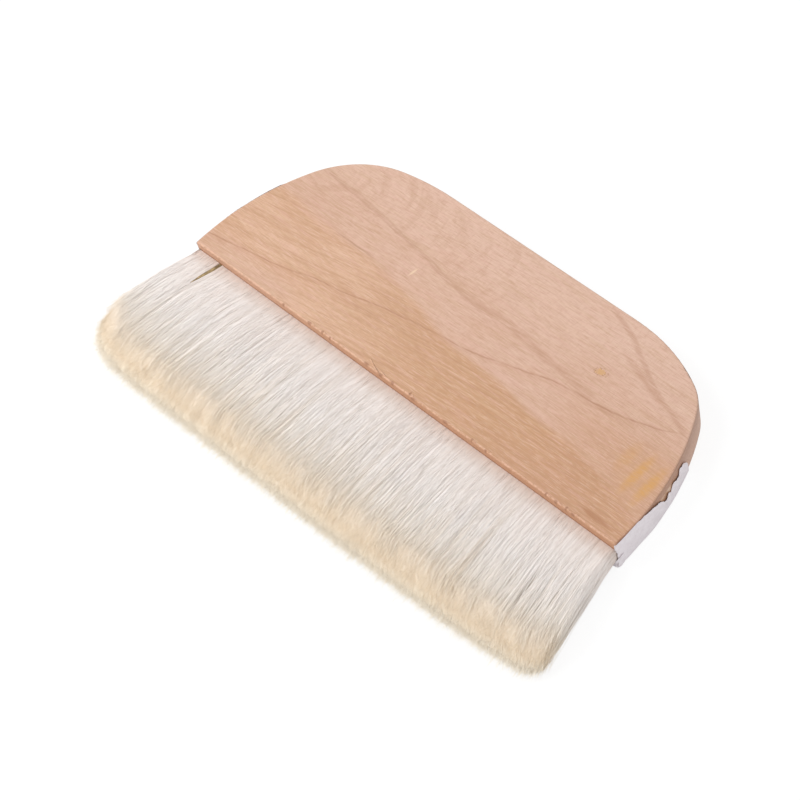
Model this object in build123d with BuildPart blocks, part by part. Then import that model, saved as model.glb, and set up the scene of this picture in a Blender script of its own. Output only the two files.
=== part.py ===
"""Flat pastry brush: a slotted, D-shaped wooden handle with a wide row of goat hair.

The brush lies on the back face of its handle. X runs along the mouth, +Y from the hair to the
crown of the handle, +Z up through the thickness. The origin is the middle of the brush's
footprint, on the surface that it lies on. All sizes are in millimetres.
"""
from build123d import *
from math import asin, cos, degrees, radians, sin, sqrt
import os

os.makedirs("parts", exist_ok=True)

# Handle: one board, sawn to a D and sanded
handle_width = 180.0          # along the mouth, where the hair comes out
handle_height = 64.0          # from the mouth to the crown
handle_thickness = 11.6
arris_radius = 0.6            # sanded edge all round the D
mouth_bevel = 0.25            # knocked-off edge at the mouth

# Each side of the D is three arcs that run into each other: a slow one up from the mouth, the
# shoulder, and a flat one onto the level crown. The D was sawn and sanded by hand, so the right
# shoulder is tighter and sits higher than the left.
side_lean = 3.0               # degrees that both sides lean outward where they leave the mouth
right_side_radius = 90.0
right_shoulder_height = 14.3  # from the end of the slow arc to the crown
right_crown_radius = 60.0
right_crown_turn = 29.0       # degrees of the flat arc
left_side_radius = 86.0
left_shoulder_height = 20.5
left_crown_radius = 96.0
left_crown_turn = 12.0

# Slot sawn into the mouth from end to end
slot_width = 5.0
slot_depth = 30.0

# Resin that holds the roots in the blind end of the slot
resin_height = 9.0
root_cover = 3.0              # resin between the roots and the end of the slot

# Goat hair, set as bundles side by side, equal but for the first, at the -X end
bundle_count = 12
first_bundle_width = 10.5
hair_reach_left = 46.8        # mouth to tips at the -X end
hair_reach_right = 43.6       # mouth to tips at the +X end
belly_thickness = 10.2        # the row where it is fullest
belly_sag = 0.3               # how far the fullest part hangs below the slot's middle
bevel_length = 8.0            # the upper hairs stop this far short of the tips
bevel_round = 5.0             # where the bevel leaves the belly
tip_height = 2.6              # foremost line of the tips above the belly's underside
tip_round = 1.2
left_corner_round = 6.5       # outer corners of the end bundles, seen from above
right_corner_round = 4.0

# Clearances of the soft hair
slot_clearance = 0.3          # hair to slot wall
end_clearance = 0.3           # hair to the tapes across the slot's ends
parting = 0.4                 # between neighbours
open_parting = 2.3            # at its root, the wide parting beside the first bundle

# Paper tape that closes each end of the slot
tape_thickness = 0.25
tape_glue = 0.05              # the tape's own glue, between the paper and the wood
tape_height = 37.5            # up the side from the mouth
tape_margin = 0.3             # from the tape's long edges to the handle's faces

# The right-hand tape's frayed edges, as heights above the mouth and above the back face
frayed_foot = [(0.0, 11.6), (0.1, 10.0), (0.9, 8.2), (1.9, 6.5), (2.2, 4.4), (1.8, 1.6), (1.4, 0.0)]
torn_side = [(9.0, 11.6), (15.0, 10.4), (20.0, 8.0), (23.5, 5.2), (25.0, 7.2), (26.5, 5.8), (28.5, 8.2)]
torn_top = [(31.5, 6.8), (32.3, 8.8), (34.6, 9.0), (36.4, 6.8), (37.5, 2.6)]

# Worked out from the sizes above
half_width = handle_width / 2
mouth_y = (max(hair_reach_left, hair_reach_right) - handle_height) / 2
slot_end_y = mouth_y + slot_depth
root_y = slot_end_y - root_cover
slot_middle_z = handle_thickness / 2
root_half = slot_width / 2 - slot_clearance
belly_top_z = slot_middle_z - belly_sag + belly_thickness / 2
belly_low_z = belly_top_z - belly_thickness
row_half_width = half_width - end_clearance
bundle_width = (2 * row_half_width - first_bundle_width) / (bundle_count - 1)
first_edge = first_bundle_width - row_half_width
bundle_edges = [-row_half_width] + [first_edge + n * bundle_width for n in range(bundle_count)]


def side_arcs(side_radius, shoulder_height, crown_radius, crown_turn):
    """Radius and turn of the three arcs up one side; the shoulder's radius makes them meet."""
    side_climb = handle_height - shoulder_height
    side_end = degrees(asin(side_climb / side_radius - sin(radians(side_lean))))
    shoulder_end = 90 - crown_turn
    crown_climb = crown_radius * (1 - sin(radians(shoulder_end)))
    shoulder_rise = sin(radians(shoulder_end)) - sin(radians(side_end))
    shoulder_radius = (shoulder_height - crown_climb) / shoulder_rise
    return [
        (side_radius, side_lean + side_end),
        (shoulder_radius, shoulder_end - side_end),
        (crown_radius, crown_turn),
    ]


def slot_end_half_width(side_radius):
    """Half width of the handle level with the slot's blind end, on the side with this slow arc."""
    centre_x = half_width - side_radius * cos(radians(side_lean))
    centre_above_mouth = side_radius * sin(radians(side_lean))
    return centre_x + sqrt(side_radius**2 - (slot_depth - centre_above_mouth) ** 2)


right_arcs = side_arcs(right_side_radius, right_shoulder_height, right_crown_radius, right_crown_turn)
left_arcs = side_arcs(left_side_radius, left_shoulder_height, left_crown_radius, left_crown_turn)

# The end hairs lie along the chord of a side arc over the slot's depth, the narrower side's at
# both ends; the rest fan evenly between them
narrowest = min(slot_end_half_width(right_side_radius), slot_end_half_width(left_side_radius))
splay = (half_width - narrowest) / slot_depth


def fan_x(mouth_x, y):
    """X at height y of the hair that crosses the mouth at mouth_x."""
    return mouth_x * (1 + splay * (mouth_y - y) / half_width)


def reach_at(mouth_x):
    """Mouth to tips: the row is trimmed along a straight line that is not quite square."""
    share = (mouth_x + half_width) / handle_width
    return hair_reach_left + (hair_reach_right - hair_reach_left) * share


# ---------------------------------------------------------------------------------------------
# Handle board
# ---------------------------------------------------------------------------------------------
with BuildSketch() as handle_outline:
    with BuildLine():
        crown_ends = []
        for sign, arcs in ((1, right_arcs), (-1, left_arcs)):
            start = (sign * half_width, mouth_y)
            heading = (sign * sin(radians(side_lean)), cos(radians(side_lean)))
            for radius, turn in arcs:
                arc = JernArc(start, heading, radius, sign * turn)
                start, heading = arc @ 1, arc % 1
            crown_ends.append(start)
        Line(*crown_ends)
        Line((-half_width, mouth_y), (half_width, mouth_y))
    make_face()

with BuildPart() as handle_board:
    add(handle_outline.sketch)
    extrude(amount=handle_thickness)
    rim_edges = handle_board.faces().filter_by(Axis.Z).edges()
    mouth_edges = rim_edges.filter_by(Axis.X).group_by(Axis.Y)[0]
    fillet(rim_edges - mouth_edges, radius=arris_radius)
    mouth_edges = handle_board.faces().sort_by(Axis.Y)[0].edges().filter_by(Axis.X)
    chamfer(mouth_edges, length=mouth_bevel)
    with BuildSketch(Plane.YZ):
        with Locations((mouth_y, slot_middle_z)):
            Rectangle(2 * slot_depth, slot_width)
    extrude(amount=handle_width, both=True, mode=Mode.SUBTRACT)
handle_board.part.label = "handle_board"
export_step(handle_board.part, "parts/handle_board.step")

# ---------------------------------------------------------------------------------------------
# Hair bundles: the row's side profile, cut to each bundle's own wedge of the fan
# ---------------------------------------------------------------------------------------------
bundles = []
for number in range(bundle_count):
    left_x, right_x = bundle_edges[number : number + 2]
    is_first = number == 0
    is_last = number == bundle_count - 1
    left_gap = 0 if is_first else parting / 2
    right_gap = 0 if is_last else parting / 2
    left_root_gap = open_parting / 2 if number == 1 else left_gap
    right_root_gap = open_parting / 2 if is_first else right_gap
    tip_y = mouth_y - reach_at((left_x + right_x) / 2)
    bevel_y = tip_y + bevel_length

    with BuildPart() as bundle:
        # Side profile, straight through the slot, then swelling to the belly and its bevelled tips
        with BuildSketch(Plane.YZ):
            with BuildLine():
                upper = Line((root_y, slot_middle_z + root_half), (mouth_y, slot_middle_z + root_half))
                lower = Line((root_y, slot_middle_z - root_half), (mouth_y, slot_middle_z - root_half))
                Line(upper @ 0, lower @ 0)
                belly = TangentArc(upper @ 1, (bevel_y, belly_top_z), tangent=(-1, 0))
                bevel = Line(belly @ 1, (tip_y, belly_low_z + tip_height))
                tip = Line(bevel @ 1, (tip_y + tip_height / 2, belly_low_z))
                TangentArc(lower @ 1, tip @ 1, tangent=(-1, 0))
            profile = make_face()
            tip_corners = profile.vertices().sort_by(Axis.X)[:2]
            belly_corner = profile.vertices().sort_by(Axis.Y)[-1]
            fillet(tip_corners, radius=tip_round)
            fillet(belly_corner, radius=bevel_round)
        extrude(amount=handle_width, both=True)
        # Wedge of the fan, seen from above
        with BuildSketch():
            with BuildLine():
                Polyline(
                    (fan_x(left_x, root_y) + left_root_gap, root_y),
                    (fan_x(left_x, tip_y) + left_gap, tip_y),
                    (fan_x(right_x, tip_y) - right_gap, tip_y),
                    (fan_x(right_x, root_y) - right_root_gap, root_y),
                    close=True,
                )
            wedge = make_face()
            tip_ends = wedge.vertices().group_by(Axis.Y)[0].sort_by(Axis.X)
            if is_first:
                fillet(tip_ends[0], radius=left_corner_round)
            if is_last:
                fillet(tip_ends[-1], radius=right_corner_round)
        extrude(amount=handle_thickness, mode=Mode.INTERSECT)
    bundle.part.label = f"hair_bundle_{number + 1:02d}"
    export_step(bundle.part, f"parts/{bundle.part.label}.step")
    bundles.append(bundle)

# ---------------------------------------------------------------------------------------------
# Resin bed: fills the blind end of the slot round the roots
# ---------------------------------------------------------------------------------------------
with BuildPart() as root_resin:
    add(handle_outline.sketch)
    extrude(amount=handle_thickness)
    with BuildSketch(Plane.YZ):
        with Locations((slot_end_y - resin_height / 2, slot_middle_z)):
            Rectangle(resin_height, slot_width)
    extrude(amount=handle_width, both=True, mode=Mode.INTERSECT)
    for bundle in bundles:
        add(bundle.part, mode=Mode.SUBTRACT)
root_resin.part.label = "root_resin"
export_step(root_resin.part, "parts/root_resin.step")

# ---------------------------------------------------------------------------------------------
# End tapes: paper up each side of the board, across the open ends of the slot
# ---------------------------------------------------------------------------------------------
for side_name, sign in (("left", -1), ("right", 1)):
    with BuildPart() as end_tape:
        with BuildSketch(Plane.XY.offset(tape_margin)):
            add(handle_outline.sketch)
            offset(amount=tape_glue + tape_thickness, kind=Kind.INTERSECTION)
            with BuildSketch(mode=Mode.PRIVATE) as inner_outline:
                add(handle_outline.sketch)
                offset(amount=tape_glue, kind=Kind.INTERSECTION)
            add(inner_outline.sketch, mode=Mode.SUBTRACT)
            with Locations((sign * half_width, mouth_y + tape_height / 2)):
                Rectangle(half_width, tape_height, mode=Mode.INTERSECT)
        extrude(amount=handle_thickness - 2 * tape_margin)
        if side_name == "right":
            # What is left of the paper, seen square to the handle's end
            with BuildSketch(Plane.YZ):
                with BuildLine():
                    edge = frayed_foot + [(tape_height, 0)] + (torn_side + torn_top)[::-1]
                    Polyline([(mouth_y + height, z) for height, z in edge], close=True)
                make_face()
            extrude(amount=handle_width, both=True, mode=Mode.INTERSECT)
    end_tape.part.label = f"end_tape_{side_name}"
    export_step(end_tape.part, f"parts/{end_tape.part.label}.step")
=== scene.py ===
"""A wide goat-hair pastry brush: a D-shaped wooden handle with twelve hair bundles glued into its mouth.

The frame gives every size and place. X runs along the mouth, +Y from the mouth to the crown of the handle,
and +Z out of its front face. The brush lies on its back face, on z = 0. Lengths here are in millimetres, and
MM turns them into the metres of the frame when a mesh is made.
"""

import math

import bpy
import numpy as np
from mathutils import Matrix, Vector


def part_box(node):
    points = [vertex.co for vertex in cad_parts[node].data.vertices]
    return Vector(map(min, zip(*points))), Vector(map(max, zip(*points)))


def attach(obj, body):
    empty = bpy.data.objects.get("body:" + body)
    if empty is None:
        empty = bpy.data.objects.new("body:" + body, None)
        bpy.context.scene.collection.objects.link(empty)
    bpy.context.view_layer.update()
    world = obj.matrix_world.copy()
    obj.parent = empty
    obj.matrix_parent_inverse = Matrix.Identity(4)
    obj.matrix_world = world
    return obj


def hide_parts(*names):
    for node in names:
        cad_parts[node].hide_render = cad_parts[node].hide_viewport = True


MM = 0.001

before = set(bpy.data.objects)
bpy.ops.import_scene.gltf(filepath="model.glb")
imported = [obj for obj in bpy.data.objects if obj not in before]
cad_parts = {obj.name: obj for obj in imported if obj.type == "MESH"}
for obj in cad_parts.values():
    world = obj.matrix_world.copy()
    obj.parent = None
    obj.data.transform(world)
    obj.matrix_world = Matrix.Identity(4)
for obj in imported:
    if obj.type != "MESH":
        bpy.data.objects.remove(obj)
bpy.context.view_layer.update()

# Sizes read from the frame
board_low, board_high = (np.array(corner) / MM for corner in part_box("handle_board"))
bundle_names = sorted(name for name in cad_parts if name.startswith("hair_bundle"))
bundle_boxes = [[np.array(corner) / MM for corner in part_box(name)] for name in bundle_names]
mouth_y = board_low[1]
front_z = board_high[2]
belly_low_z = min(low[2] for low, high in bundle_boxes)
belly_top_z = max(high[2] for low, high in bundle_boxes)

# The handle's front face, as far as lines are drawn on it
face_height = 64.0
face_reach = 95.0  # to each side of the middle

# The row of hair
half_width = 90.0  # of the mouth
row_half_width = half_width - 0.3
first_bundle_width = 10.5
parting_x = -row_half_width + first_bundle_width  # the open parting, beside the first bundle
parting_half_gap = 0.75
parting_reach = 9.0  # how far to each side the open parting moves the hair
bundle_edges = [-row_half_width, *np.linspace(parting_x, row_half_width, len(bundle_names))]
slot_half = 2.2  # half the row's thickness in the slot
belly_half = (belly_top_z - belly_low_z) / 2
belly_length = 20.0  # from the mouth to where the row has its full thickness
reach_middle = 48.4  # mouth to tips in the middle of the row
end_round = 2.0  # rounding of the row's ends, seen along the hair
bevel_length = 9.0  # how much shorter the front hair is than the longest
bevel_foot = 0.25  # share of the row's thickness, from the back, at which the bevel begins
root_depth = 3.0  # how far inside the mouth the hair is modelled
groove_run = 12.0  # millimetres over which a groove between locks opens to its full depth
end_hair_count = 420  # hairs down each end of the row
map_columns = 32  # tones of hair across the bundles' colour map
to_front = (0, 0, 1.0)  # the way out of the row's front
to_back = (0, 0, -1.0)

# Deep partings in the front of the row: place along the mouth, where it opens past the mouth, and depth
deep_partings = [
    (-69.0, 16, 0.3),
    (-59.5, 18, 0.35),
    (-47.0, 18, 0.35),
    (-31.5, 24, 0.4),
    (-22.0, 12, 0.25),
    (13.5, 14, 0.55),
    (31.5, 24, 0.35),
    (50.0, 11, 0.12),
    (70.5, 14, 0.5),
    (75.5, 16, 0.55),
    (80.5, 14, 0.6),
]

rng = np.random.default_rng(12)


# ---- mesh building ----


def mesh_piece(name, vertices, faces, material, uv=None, smooth=True):
    """A mesh from arrays: vertices in millimetres, faces as a list of index arrays, one for each number of
    corners, one uv row for each corner in the order of the faces, and smooth for all faces or for each."""
    mesh = bpy.data.meshes.new(name)
    corners = np.concatenate([block.ravel() for block in faces]).astype(np.int32)
    counts = np.concatenate([np.full(len(block), block.shape[1]) for block in faces])
    starts = np.concatenate([[0], np.cumsum(counts)[:-1]]).astype(np.int32)
    mesh.vertices.add(len(vertices))
    mesh.vertices.foreach_set("co", (vertices * MM).astype(np.float32).ravel())
    mesh.loops.add(len(corners))
    mesh.loops.foreach_set("vertex_index", corners)
    mesh.polygons.add(len(counts))
    mesh.polygons.foreach_set("loop_start", starts)
    mesh.update(calc_edges=True)
    mesh.polygons.foreach_set("use_smooth", np.broadcast_to(smooth, len(counts)).copy())
    if uv is not None:
        layer = mesh.uv_layers.new(name="OFBake")
        layer.uv.foreach_set("vector", uv.astype(np.float32).ravel())
    mesh.materials.append(material)
    piece = bpy.data.objects.new(name, mesh)
    bpy.context.scene.collection.objects.link(piece)
    return piece


def smoothstep(value, low, high):
    """0 below low, 1 above high, and 3s^2 - 2s^3 between them, with s the share of the way."""
    share = np.clip((value - low) / (high - low), 0, 1)
    return share * share * (3 - 2 * share)


def points_at(x, y, z):
    """Points from their three places, each a number or an array of a fitting shape."""
    return np.stack(np.broadcast_arrays(x, y, z), -1)


def unit(vectors):
    """The same directions with a length of 1."""
    return vectors / np.linalg.norm(vectors, axis=-1, keepdims=True)


# ---- materials ----


class Finish:
    """One material. Each method adds nodes and gives back the socket that holds their result."""

    def __init__(self, name, roughness=0.6):
        self.material = bpy.data.materials.new(name)
        self.material.use_nodes = True
        self.tree = self.material.node_tree
        self.surface = self.tree.nodes["Principled BSDF"]
        self.surface.inputs["Roughness"].default_value = roughness

    def node(self, kind, feeds, out=0, **settings):
        made = self.tree.nodes.new(kind)
        for setting, value in settings.items():
            setattr(made, setting, value)
        for place, value in feeds.items():
            if isinstance(value, bpy.types.NodeSocket):
                self.tree.links.new(value, made.inputs[place])
            else:
                made.inputs[place].default_value = value
        return made.outputs[out]

    def math(self, operation, first, second=0.0, clamp=False):
        return self.node("ShaderNodeMath", {0: first, 1: second}, operation=operation, use_clamp=clamp)

    def add(self, first, second):
        return self.math("ADD", first, second)

    def less(self, first, second):
        return self.math("SUBTRACT", first, second)

    def both(self, first, *others):
        """The product of all the shares."""
        return self.math("MULTIPLY", first, self.both(*others) if others[1:] else others[0])

    def place(self, scale=(1, 1, 1), shift=(0, 0, 0), turn=(0, 0, 0)):
        """The point on the piece in millimetres, with y from the mouth, then scaled, turned and shifted."""
        point = self.node("ShaderNodeTexCoord", {}, out="Object")
        feeds = {"Vector": point, "Scale": (1 / MM,) * 3, "Location": (0, -mouth_y, 0)}
        from_mouth = self.node("ShaderNodeMapping", feeds)
        feeds = {"Vector": from_mouth, "Scale": scale, "Location": shift, "Rotation": turn}
        return self.node("ShaderNodeMapping", feeds)

    def split(self, vector):
        return self.node("ShaderNodeSeparateXYZ", {0: vector}).node.outputs

    def join(self, x, y, z):
        return self.node("ShaderNodeCombineXYZ", {0: x, 1: y, 2: z})

    def noise(self, vector, scale=1.0, detail=2.0, roughness=0.5):
        feeds = {"Vector": vector, "Scale": scale, "Detail": detail, "Roughness": roughness}
        return self.node("ShaderNodeTexNoise", feeds)

    def grain(self, scale, detail=3, roughness=0.6, **placing):
        """Noise with its own scale along each axis: the smaller the scale, the longer its grain there."""
        return self.noise(self.place(scale=scale, **placing), 1.0, detail, roughness)

    def fade(self, value, low, high, first, last):
        """first up to low, last from high, and a smooth change between them."""
        feeds = {"Value": value, "From Min": low, "From Max": high, "To Min": first, "To Max": last}
        return self.node("ShaderNodeMapRange", feeds, interpolation_type="SMOOTHSTEP")

    def rise(self, value, low, high, last=1.0):
        return self.fade(value, low, high, 0.0, last)

    def fall(self, value, low, high, first=1.0):
        return self.fade(value, low, high, first, 0.0)

    def mix(self, share, first, second):
        feeds = {0: share, 6: first, 7: second}
        return self.node("ShaderNodeMix", feeds, out=2, data_type="RGBA")

    def ramp(self, value, stops):
        """Straight changes between colours. Each stop is its share of the way and its colour as seen."""
        shown = self.node("ShaderNodeValToRGB", {0: value})
        elements = shown.node.color_ramp.elements
        while len(elements) < len(stops):
            elements.new(0.5)
        for element, (share, *seen) in zip(elements, stops):
            element.position = share
            element.color = tone(*seen)
        return shown

    def curve(self, value, points):
        """The height of a smooth line through the points, all between 0 and 1."""
        height = self.node("ShaderNodeFloatCurve", {"Value": value})
        line = height.node.mapping.curves[0]
        for _ in points[2:]:
            line.points.new(0.5, 0.5)
        for point, place in zip(line.points, points):
            point.location = place
        height.node.mapping.update()
        return height

    def line(self, x, points):
        """Y at x of a smooth line through the points, in millimetres on the handle's front face."""
        length = 2 * face_reach
        share = self.math("MULTIPLY", self.add(x, face_reach), 1 / length, clamp=True)
        shares = [((across + face_reach) / length, up / face_height) for across, up in points]
        return self.both(self.curve(share, shares), face_height)

    def stroke(self, distance, half, soft):
        """1 along a line and 0 beyond its soft edges, from the distance to the line."""
        return self.fall(self.math("ABSOLUTE", distance), half, half + soft)

    def between(self, value, low, high, soft):
        """1 from low to high and 0 beyond the soft edges outside them."""
        rise = self.rise(value, low - soft, low)
        return self.both(rise, self.fall(value, high, high + soft))

    def oval(self, x, y, middle_x, middle_y, half_x, half_y):
        """Distance from an oval's middle, 1 on its edge: x and y in half lengths, squared, and the root."""
        across = self.math("POWER", self.both(self.less(x, middle_x), 1 / half_x), 2.0)
        along = self.math("POWER", self.both(self.less(y, middle_y), 1 / half_y), 2.0)
        return self.math("SQRT", self.add(across, along))

    def colour(self, socket):
        self.tree.links.new(socket, self.surface.inputs["Base Color"])

    def bump(self, height, strength, distance):
        feeds = {"Height": height, "Strength": strength, "Distance": distance * MM}
        self.tree.links.new(self.node("ShaderNodeBump", feeds), self.surface.inputs["Normal"])


def tone(red, green, blue):
    """A colour given as it looks on a screen, 0 to 255, in the linear values that a shader takes."""
    share = np.array([red, green, blue]) / 255
    linear = np.where(share <= 0.04045, share / 12.92, ((share + 0.055) / 1.055) ** 2.4)
    return (*linear, 1.0)


def hair_finish():
    """Goat hair: greyer at the root, which is painted shade under the rim of the mouth, then white, cream
    towards the tip and pale at the very tip, partly painted light against the shade where the row turns under.
    The map's first number is the hair's tone, from shaded to clean white: partly the hair's own tone and
    partly painted shade in the grooves between locks. Its second runs from root to tip."""
    finish = Finish("goat_hair", roughness=0.6)
    finish.surface.inputs["Sheen Weight"].default_value = 0.35
    finish.surface.inputs["Sheen Roughness"].default_value = 0.5
    hair_tone_and_shade, way, _ = finish.split(finish.node("ShaderNodeUVMap", {}, uv_map="OFBake"))
    # The first stop of both ramps is painted shade under the mouth's rim; the last is partly painted light.
    white = [
        (0.0, 222, 203, 191),
        (0.12, 249, 240, 235),
        (0.45, 254, 248, 244),
        (0.68, 255, 248, 240),
        (0.82, 251, 240, 225),
        (0.92, 246, 232, 211),
        (1.0, 255, 248, 234),
    ]
    # Hair in the grooves between locks: painted shade.
    painted_groove_shade = [
        (0.0, 216, 198, 186),
        (0.12, 238, 226, 216),
        (0.4, 238, 225, 210),
        (0.68, 244, 228, 208),
        (0.82, 242, 225, 201),
        (0.94, 240, 223, 198),
        (1.0, 252, 240, 222),
    ]
    finish.colour(finish.mix(hair_tone_and_shade, finish.ramp(way, painted_groove_shade), finish.ramp(way, white)))
    return finish.material


def wood_tone(red, green, blue):
    """A wood colour as it looks in the studio's light, which is 3 % brighter than plain."""
    return tone(0.97 * red, 0.97 * green, 0.97 * blue)


def wood_finish():
    """Pinkish-tan hardwood, sanded but not varnished: an ochre band of slanting streaks below a pink one,
    thin dark growth lines, faint arcs, browner sides darkened with painted shade towards the front, one small
    knot, a scratch, glue stains and a chipped mouth, with a painted highlight along its arris and painted
    shade in its chips and beside the slot. Each mark is a share from 0 to 1, worked out from distances and
    noise, by which its colour is laid over those before it."""
    finish = Finish("handle_wood", roughness=0.55)
    add, less, both, grain, oval = finish.add, finish.less, finish.both, finish.grain, finish.oval
    fade, rise, fall, stroke, between = finish.fade, finish.rise, finish.fall, finish.stroke, finish.between
    x, straight_y, z = finish.split(finish.place())
    wander = both(less(grain((0.05, 0.12, 0.12), roughness=0.5), 0.5), 3.2)
    y = add(straight_y, wander)

    def over(share, *seen):
        """Lays a wood colour over what is there."""
        nonlocal colour
        colour = finish.mix(share, colour, wood_tone(*seen))

    # Growth lines: the upper one, the long one that rises to the right, the lower one and a slanting one
    upper = [(-90, 47.8), (-80, 47.4), (-50, 44.8), (-30, 42.3), (-10, 39.1), (0, 38.1), (10, 38.6),
             (30, 36), (60, 33.9)]
    rising = [(-88, 5.3), (-70, 8.3), (-50, 12.9), (-30, 17), (-10, 21.1), (5, 23.1), (15, 24.7), (30, 29.3),
              (38, 31.4), (50, 32.9), (60, 34.4), (70, 37), (80, 41.2)]
    lower = [(-85, 34.1), (-60, 31.5), (-30, 28.8), (-10, 25.7), (0, 23.1), (20, 21.5), (40, 19.4),
             (60, 17.9), (80, 13.2)]
    slanting = [(30, 63.8), (32, 63), (45, 57.8), (55, 52.6), (65, 47.4), (80, 41.2), (90, 37)]
    above_upper, above_rising, above_lower, above_slanting = (
        less(y, finish.line(x, points)) for points in (upper, rising, lower, slanting)
    )

    # The two bands of colour
    clouds = grain((0.03, 0.09, 0.09))
    pink = finish.mix(rise(x, -85, -30), wood_tone(216, 175, 150), wood_tone(225, 185, 163))
    pink = finish.mix(rise(clouds, 0.42, 0.62, 0.5), pink, wood_tone(218, 174, 148))
    pink = finish.mix(rise(straight_y, 34, 56, 0.7), pink, wood_tone(234, 197, 177))
    ochre = finish.mix(rise(x, -50, 25), wood_tone(224, 181, 150), wood_tone(207, 158, 118))
    ochre = finish.mix(rise(clouds, 0.42, 0.62, 0.5), ochre, wood_tone(206, 158, 122))
    mouth_left = both(fall(x, -60, -42, 0.8), fall(straight_y, 4, 10))
    below = both(fall(above_lower, -2.5, 0.8), less(1.0, mouth_left))
    colour = finish.mix(below, pink, ochre)
    over(both(rise(x, -20, 70), fall(straight_y, 0, 14, 0.5)), 202, 154, 122)
    over(both(rise(x, 30, 66), fall(straight_y, 26, 40, 0.6)), 207, 156, 121)

    # Long streaks beside the rising line, short pores, light and dark flecks, and rays across the grain
    streak_way = [(-90, 8), (-60, 13), (-30, 18.5), (0, 23), (30, 26), (60, 27), (90, 27)]
    calm_y = add(straight_y, both(wander, 0.4))
    across = both(less(calm_y, finish.line(x, streak_way)), 1.15)
    streaks = finish.noise(finish.join(both(x, 0.022), across, both(z, 0.7)), 1.0, 5, 0.7)
    streak_depth = fade(below, 0, 1, 0.2, 0.5)
    over(both(rise(streaks, 0.48, 0.66), streak_depth), 192, 144, 108)
    over(both(rise(streaks, 0.5, 0.34), streak_depth), 234, 194, 160)
    pores = grain((0.28, 4.2, 4.2))
    over(rise(pores, 0.51, 0.66, 0.45), 194, 148, 120)
    over(fall(pores, 0.34, 0.49, 0.42), 242, 208, 186)
    flecks = grain((0.11, 1.6, 1.6))
    over(rise(flecks, 0.5, 0.66, 0.28), 204, 166, 128)
    over(fall(flecks, 0.36, 0.48, 0.3), 232, 186, 168)
    over(rise(grain((2.2, 0.5, 0.5), 2, 0.5), 0.5, 0.68, 0.22), 200, 156, 130)

    # Faint arcs where the saw ran through the rings, at the upper left
    ring = oval(x, y, -100.0, 49.0, 10.0, 4.6)
    rings = finish.noise(finish.join(ring, both(y, 0.03), 0.0), 2.6, 3, 0.6)
    arc_zone = both(between(y, 42, 59, 5), fall(x, -4, 14))
    over(both(both(rise(rings, 0.5, 0.64), arc_zone), 0.22), 194, 150, 120)

    # The upper line: two thin strokes with a pale band at the left, and a broad soft stroke in the middle
    broken = fade(grain((0.12, 1.2, 1.2), 2, 0.5), 0.36, 0.52, 0.35, 1.0)
    left_part = fade(x, -15, 5, 1.0, 0.25)
    lower_stroke = stroke(add(above_upper, 0.9), 0.2, 0.5)
    two_strokes = both(finish.math("MAXIMUM", stroke(above_upper, 0.12, 0.5), lower_stroke), broken)
    pale_band = between(above_upper, -0.5, 0.9, 0.6)
    over(both(pale_band, left_part, broken, 0.14), 214, 186, 150)
    over(both(two_strokes, left_part, 0.28), 178, 126, 102)
    middle_part = both(rise(x, -25, 0), fall(x, 40, 62))
    soft_stroke = both(stroke(above_upper, 0.3, 1.6), middle_part)
    over(both(soft_stroke, broken, 0.34), 192, 144, 116)

    # The rising line, shaded below; a short piece of the lower one; the slanting one; and a darker patch
    rising_end = fall(x, 70, 84)
    over(both(between(above_rising, -0.9, 0.0, 0.9), rising_end, 0.16), 186, 134, 102)
    over(both(stroke(above_rising, 0.06, 0.36), broken, rising_end, 0.42), 170, 116, 88)
    lower_left = both(stroke(above_lower, 0.12, 0.45), between(x, -52, -44, 6))
    over(both(lower_left, broken, 0.5), 172, 126, 96)
    slant_zone = both(rise(x, 30, 36), fall(x, 78, 84))
    over(both(stroke(above_slanting, 0.3, 1.1), slant_zone, broken, 0.36), 186, 136, 108)
    patch = oval(x, add(y, both(x, 0.36)), 60.0, 69.5, 12.0, 1.3)
    over(fall(patch, 0.3, 1.4, 0.4), 192, 142, 114)

    # End grain round the sides, browner than the face, with painted shade that darkens them towards the front
    normal = finish.split(finish.node("ShaderNodeNewGeometry", {}, out="Normal"))
    side = fall(finish.math("ABSOLUTE", normal[2]), 0.35, 0.8)
    dots = grain((1.5, 1.5, 3.0))
    # Painted shade: the sides darken from the back face towards the front edge.
    over(both(side, fade(z, 2, 11, 0.1, 0.62), rise(straight_y, 0.3, 1.5)), 162, 116, 92)
    over(both(side, rise(dots, 0.45, 0.62, 0.4)), 184, 140, 116)

    # A small knot with pits round it, and a scratch
    knot = oval(x, straight_y, 46.1, 42.7, 1.9, 1.25)
    knot_edge = add(knot, both(less(finish.noise(finish.place(), 1.6, 2), 0.5), 1.6))
    over(fall(knot_edge, 0.6, 1.15, 0.8), 222, 174, 120)
    speckle = rise(finish.noise(finish.place(), 2.6, 1), 0.5, 0.58)
    pits = both(between(knot_edge, 0.85, 1.25, 0.15), speckle)
    over(both(pits, 0.5), 160, 106, 66)
    scratch = oval(add(x, both(straight_y, -0.12)), straight_y, -29.9, 34.6, 0.5, 2.1)
    over(fall(scratch, 0.4, 1.2, 0.75), 246, 214, 182)

    # Glue stains across the grain, and a brown streak near the right end of the mouth
    smear = fade(grain((0.5, 1.6, 0.5)), 0.36, 0.6, 0.6, 1.0)
    for middle_x, middle_y, half_x, half_y, strength in (
        (80.5, 22.0, 7.5, 10.0, 0.22),
        (78.9, 22.2, 1.9, 9.0, 0.75),
        (84.5, 20.8, 2.1, 9.0, 0.8),
        (72.8, 25.0, 2.6, 6.5, 0.35),
    ):
        stain = oval(x, straight_y, middle_x, middle_y, half_x, half_y)
        over(both(fall(stain, 0.15, 1.25, strength), smear), 222, 166, 94)
    streak_y = add(straight_y, both(less(x, 79.0), 0.06))
    over(fall(oval(x, streak_y, 79.5, 3.3, 7.0, 1.1), 0.4, 1.15, 0.55), 176, 120, 82)
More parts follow.
